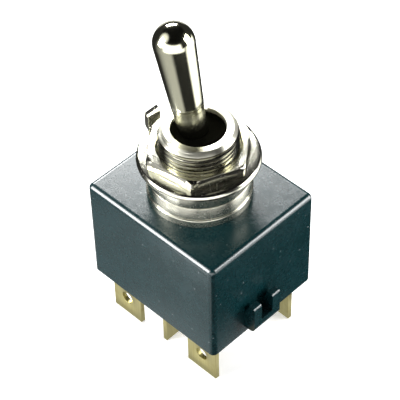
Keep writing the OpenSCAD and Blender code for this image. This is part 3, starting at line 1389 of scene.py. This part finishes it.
@dataclass
class Room:
    """What surrounds the switch: white to look at, a soft room to light and to reflect.

    A fan is the pair of cosines from a direction at which a patch begins and is whole, and
    a rise is the pair of sines of elevation over which it fades.
    """

    tone: Rgb = (0.93, 0.95, 1.0)
    light: float = 0.3
    screen_azimuth: float = 20.0
    screen_fan: Span = (0.3, 0.55)
    screen_rise: Span = (0.34, 0.5)
    screen_light: float = 2.2
    veil_way: Flat = (-30.0, 38.0)
    veil_fan: Span = (0.86, 0.98)
    veil_light: float = 1.4
    walls_light: float = 0.03
    walls_rise: Span = (0.4, 0.7)
    walls_fall: float = 0.025

    def mirrored(self, graph: Graph) -> Value:
        """Works out what polished surfaces see.

        Args:
            graph: the world's graph.

        Returns:
            The light in each direction.
        """
        where = graph.node("ShaderNodeTexCoord", {}, {}).tint("Generated")
        _, _, rise = where.parts()
        screen = where.along(level(self.screen_azimuth)).ramp(*self.screen_fan)
        screen = screen * (1.0 - rise.ramp(*self.screen_rise))
        veil = where.along(tuple(heading(*self.veil_way))).ramp(*self.veil_fan)
        walls = self.walls_light - rise.ramp(*self.walls_rise) * self.walls_fall
        return screen * self.screen_light + (walls + veil * self.veil_light)

    def build(self) -> None:
        """Makes the world and its nodes."""
        world = bpy.data.worlds.new("room")
        bpy.context.scene.world = world
        world.use_nodes = True
        graph = Graph(world.node_tree)
        path = graph.node("ShaderNodeLightPath", {}, {})
        lights = [
            graph.node("ShaderNodeBackground", {}, {"Color": tone, "Strength": strength})
            for tone, strength in (
                (self.tone, self.light), (WHITE, self.mirrored(graph)), (WHITE, 1.0),
            )
        ]
        soft = graph.either(path.value("Is Glossy Ray"), lights[0], lights[1])
        seen = path.value("Is Camera Ray") + path.value("Is Transmission Ray")
        whole = graph.either(seen, soft, lights[2])
        graph.node("ShaderNodeOutputWorld", {}, {"Surface": whole})


@dataclass(frozen=True)
class FloorCard:
    """A bright patch of the floor that only shiny surfaces see.

    Each fan is an azimuth with the cosines from it at which the patch begins and is whole.
    starts and ends are the distances from the switch's axis over which it fades in and out,
    and past is a level direction with the distances along it over which it fades in, all in
    metres.
    """

    strength: float
    fans: tuple[tuple[float, Span], ...] = ()
    starts: Span | None = None
    ends: Span | None = None
    past: tuple[Point, Span] | None = None

    def light(self, spot: Tint, turn: Tint, away: Value) -> Value:
        """Works out the patch's light.

        Args:
            spot: the place on the floor.
            turn: its direction from the axis.
            away: its distance from the axis.

        Returns:
            The light there.
        """
        light: float | Value = self.strength
        for azimuth, fan in self.fans:
            light = light * turn.along(level(azimuth)).ramp(*fan)
        if self.starts:
            light = light * away.ramp(*self.starts)
        if self.ends:
            light = light * (1.0 - away.ramp(*self.ends))
        if self.past:
            direction, span = self.past
            light = light * spot.along(direction).ramp(*span)
        return light


@dataclass
class Floor:
    """The pale floor, which shows white, keeps the shadow and is clear from below.

    Under the switch its reflection is dimmed inside shade_x and shade_y, which are squares of
    the place on the floor in metres.
    """

    height: float = -34.62
    reach: float = 1500.0
    tones: tuple[Rgb, Rgb] = ((0.86, 0.86, 0.86), (0.9, 0.9, 0.9))
    grain_scale: float = 900.0
    lit: float = 0.45
    dim: float = 0.03
    near: Span = (0.017, 0.020)
    shade: float = 0.4
    shade_x: Span = (1.2e-4, 2.0e-4)
    shade_y: Span = (0.8e-4, 1.3e-4)
    cards: tuple[FloorCard, ...] = (
        FloorCard(0.85, ends=(0.017, 0.020)),
        FloorCard(0.46, ((-25.0, (0.4, 0.65)),), starts=(0.017, 0.020), ends=(0.036, 0.046)),
        FloorCard(0.62, ((20.0, (0.1, 1.0)), (-20.0, (0.45, 0.75))), starts=(0.03, 0.045)),
        FloorCard(2.5, ((138.0, (0.78, 0.95)),), starts=(0.055, 0.085)),
        FloorCard(2.0, ((45.0, (0.45, 0.75)),), starts=(0.11, 0.19)),
        FloorCard(0.8, ((230.0, (0.9, 0.98)),)),
        FloorCard(
            4.0, ((-12.0, (0.96, 0.985)),), ends=(0.044, 0.05),
            past=((0.0, -1.0, 0.0), (0.031, 0.035)),
        ),
        FloorCard(
            0.5, ((118.0, (0.97, 0.99)),), ends=(0.044, 0.05),
            past=((1.0, 0.0, 0.0), (0.032, 0.036)),
        ),
    )

    def mirrored(self, graph: Graph) -> Value:
        """Works out what polished surfaces see of the floor.

        Args:
            graph: the floor material's graph.

        Returns:
            The light at each place.
        """
        spot = graph.place().scaled((1.0, 1.0, 0.0))
        x, y, _ = spot.parts()
        under = (1.0 - (x * x).ramp(*self.shade_x)) * (1.0 - (y * y).ramp(*self.shade_y))
        turn, away = spot.unit(), spot.length()
        near = 1.0 - away.ramp(*self.near)
        glow = self.dim - near * under * self.shade
        for card in self.cards:
            glow = glow + card.light(spot, turn, away)
        return glow

    def paper(self) -> bpy.types.Material:
        """Makes the floor's material.

        Returns:
            The material.
        """
        paper = bpy.data.materials.new("floor_paper")
        paper.use_nodes = True
        graph = Graph(paper.node_tree)
        grain = graph.noise(graph.place(), self.grain_scale)
        tone = graph.mix(*self.tones, grain)
        matt = graph.node("ShaderNodeBsdfDiffuse", {}, {"Color": tone})
        lit, mirrored = (
            graph.node("ShaderNodeEmission", {}, {"Color": WHITE, "Strength": strength})
            for strength in (self.lit, self.mirrored(graph))
        )
        path = graph.node("ShaderNodeLightPath", {}, {})
        both = graph.node("ShaderNodeAddShader", {}, {0: matt, 1: lit})
        shown = graph.either(path.value("Is Camera Ray"), matt, both)
        shown = graph.either(path.value("Is Glossy Ray"), shown, mirrored)
        below = graph.node("ShaderNodeNewGeometry", {}, {}).value("Backfacing")
        clear = graph.node("ShaderNodeBsdfTransparent", {}, {})
        whole = graph.either(below, shown, clear)
        graph.node("ShaderNodeOutputMaterial", {}, {"Surface": whole})
        return paper

    def build(self) -> None:
        """Makes the floor."""
        far, z = self.reach, self.height
        corners = [(-far, -far, z), (far, -far, z), (far, far, z), (-far, far, z)]
        mesh = bpy.data.meshes.new("floor")
        mesh.from_pydata([tuple(c * MM for c in p) for p in corners], [], [(0, 1, 2, 3)])
        floor = bpy.data.objects.new("floor", mesh)
        bpy.context.scene.collection.objects.link(floor)
        mesh.materials.append(self.paper())


@dataclass
class Studio:
    """Camera, lamps, floor and room."""

    azimuth: float = 45.4815
    elevation: float = 46.4395
    roll: float = -1.5457
    distance: float = 250.378
    aim: Point = (-0.0207, -0.0211, -9.2272)
    lens: float = 150.956
    sensor: float = 36.0
    clip: Span = (0.01, 10.0)
    lit_point: Point = (0.0, 0.0, -8.0)
    boxes: tuple[SoftBox, ...] = (
        SoftBox("left_softbox", -30.0, 19.0, 175.0, 320.0, 2.3),
        SoftBox("right_softbox", 135.0, 19.0, 240.0, 280.0, 2.2),
        SoftBox("back_softbox", 233.0, 34.7, 220.0, 100.0, 2.75),
    )

    def camera(self) -> None:
        """Makes the camera at the catalogue view of the switch."""
        lens = bpy.data.cameras.new("camera")
        lens.lens = self.lens
        lens.sensor_width = self.sensor
        lens.clip_start, lens.clip_end = self.clip
        held = bpy.data.objects.new("camera", lens)
        back = heading(self.azimuth, self.elevation)
        held.location = Vector(self.aim) * MM + back * self.distance * MM
        held.rotation_mode = "QUATERNION"
        aim = (-back).to_track_quat("-Z", "Y").to_matrix()
        roll = Matrix.Rotation(math.radians(self.roll), 3, "Z")
        held.rotation_quaternion = (aim @ roll).to_quaternion()
        bpy.context.scene.collection.objects.link(held)
        bpy.context.scene.camera = held

    def build(self) -> None:
        """Sets the whole studio up."""
        self.camera()
        Room().build()
        Floor().build()
        for box in self.boxes:
            box.build(Vector(self.lit_point) * MM)
        bpy.context.scene.view_settings.view_transform = "Standard"


# ---------------------------------------------------------------- the whole switch


def main() -> None:
    """Builds every piece in order, then the studio."""
    logging.basicConfig(level=logging.INFO, format="%(name)s: %(message)s")
    CarriedSolids().build()
    Bushing().build()
    LockingRing().build()
    HexNut().build()
    BatLever().build()
    Seal().build()
    for blade in TERMINALS:
        blade.build()
    Studio().build()


if __name__ == "__main__":
    main()
